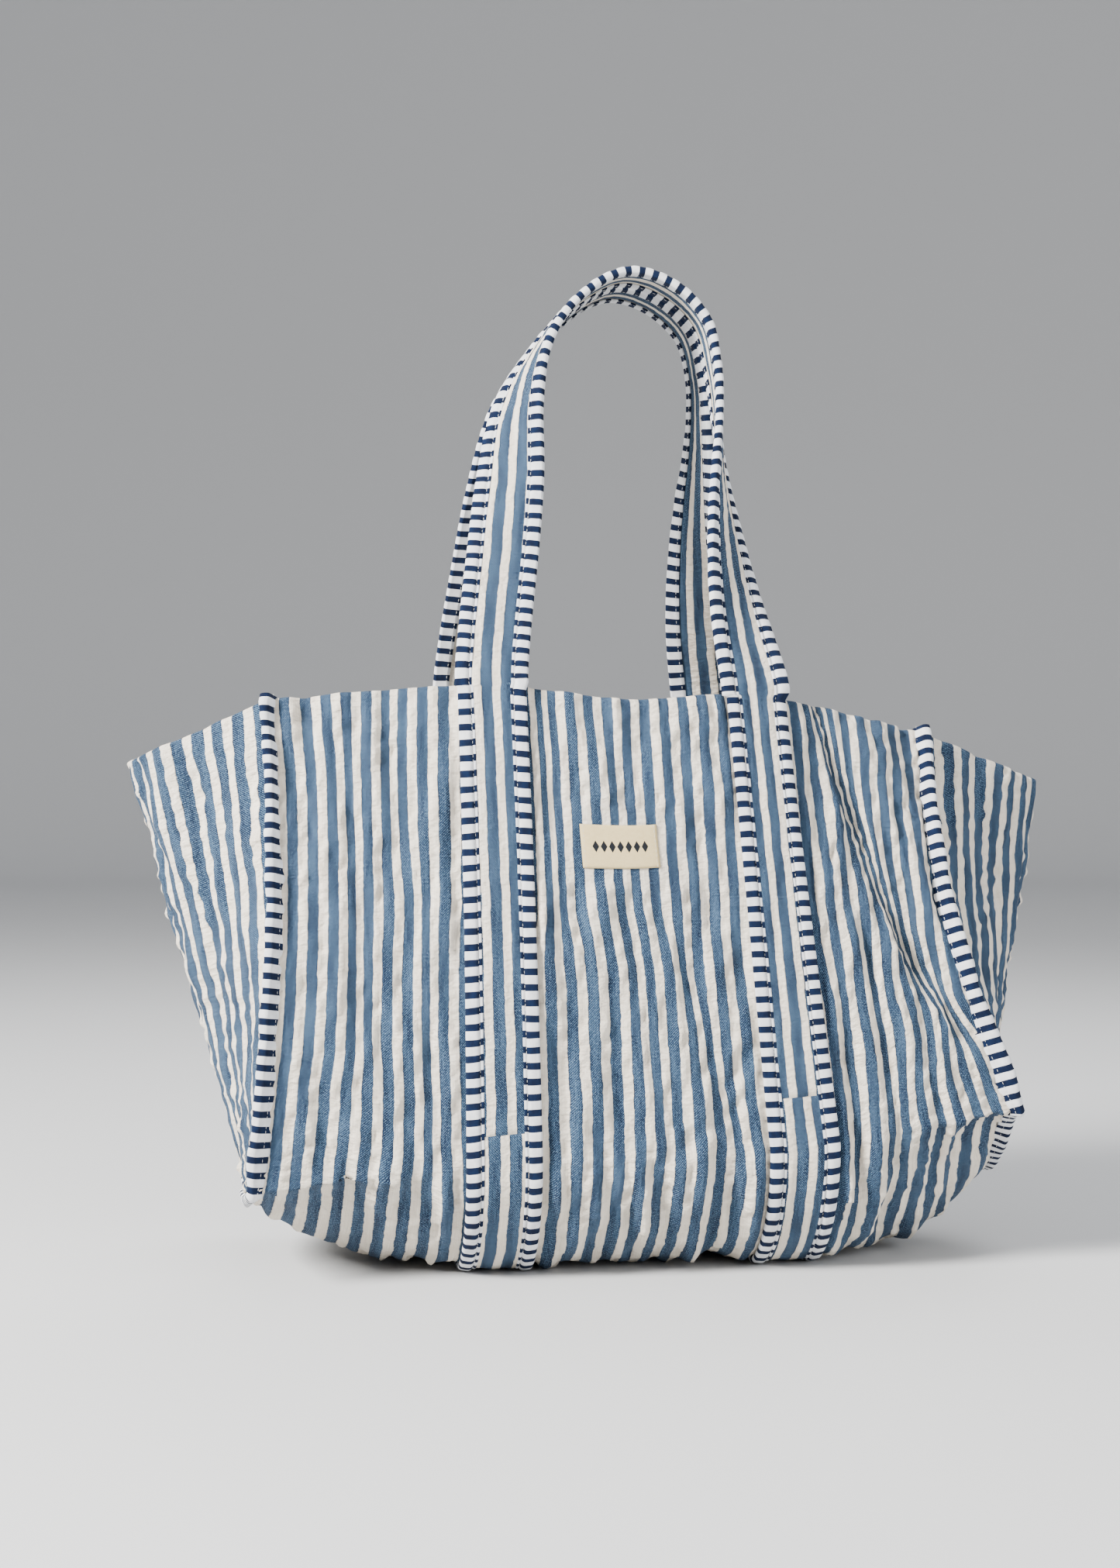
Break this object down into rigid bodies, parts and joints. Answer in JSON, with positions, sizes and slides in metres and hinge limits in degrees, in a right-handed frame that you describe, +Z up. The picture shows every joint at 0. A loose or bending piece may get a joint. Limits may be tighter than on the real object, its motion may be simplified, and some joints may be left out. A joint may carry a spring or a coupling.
{
  "type": "tote bag",
  "caption": "Soft quilted striped cotton carry bag with boxy folded side gussets, bound side seams and two wide tape-edged shoulder straps running under the base",
  "frame": {"origin": "middle of the bounding box in X and Y, on the surface the base rests on", "axes": "+Z up along the straps, X across the width of the bag, the labelled front faces -Y"},
  "size_m": [0.5652, 0.2136, 0.6014],
  "materials": {
    "quilted_cloth": "blue chambray and cream stripes on padded quilted cotton, matt",
    "lining_cloth": "plain cream cotton, matt",
    "binding_tape": "navy and white crosswise striped cotton tape, matt",
    "label_cloth": "cream woven label, slight sheen"
  },
  "bodies": {
    "bag": {"front_panel": "quilted_cloth", "back_panel": "quilted_cloth", "left_gusset": "quilted_cloth", "right_gusset": "quilted_cloth", "front_lining": "lining_cloth", "back_lining": "lining_cloth", "left_gusset_lining": "lining_cloth", "right_gusset_lining": "lining_cloth", "front_hem": "quilted_cloth", "back_hem": "quilted_cloth", "left_gusset_hem": "quilted_cloth", "right_gusset_hem": "quilted_cloth", "left_seam_binding": "binding_tape", "right_seam_binding": "binding_tape", "front_left_leg": "quilted_cloth", "front_left_leg_outer_binding": "binding_tape", "front_left_leg_inner_binding": "binding_tape", "front_right_leg": "quilted_cloth", "front_right_leg_outer_binding": "binding_tape", "front_right_leg_inner_binding": "binding_tape", "back_left_leg": "quilted_cloth", "back_left_leg_outer_binding": "binding_tape", "back_left_leg_inner_binding": "binding_tape", "back_right_leg": "quilted_cloth", "back_right_leg_outer_binding": "binding_tape", "back_right_leg_inner_binding": "binding_tape", "label": "label_cloth"},
    "front_strap": {"front_handle": "quilted_cloth", "front_handle_outer_binding": "binding_tape", "front_handle_inner_binding": "binding_tape"},
    "back_strap": {"back_handle": "quilted_cloth", "back_handle_outer_binding": "binding_tape", "back_handle_inner_binding": "binding_tape"}
  },
  "joints": [
    {"name": "front_handle_swing", "type": "hinge", "parent": "bag", "child": "front_strap", "pos_m": [0.006, -0.0842, 0.3432], "axis": [0.9995, 0, -0.0312], "range_deg": [0, 170]},
    {"name": "back_handle_swing", "type": "hinge", "parent": "bag", "child": "back_strap", "pos_m": [0.006, 0.0842, 0.3432], "axis": [-0.9995, 0, 0.0312], "range_deg": [0, 170]}
  ]
}
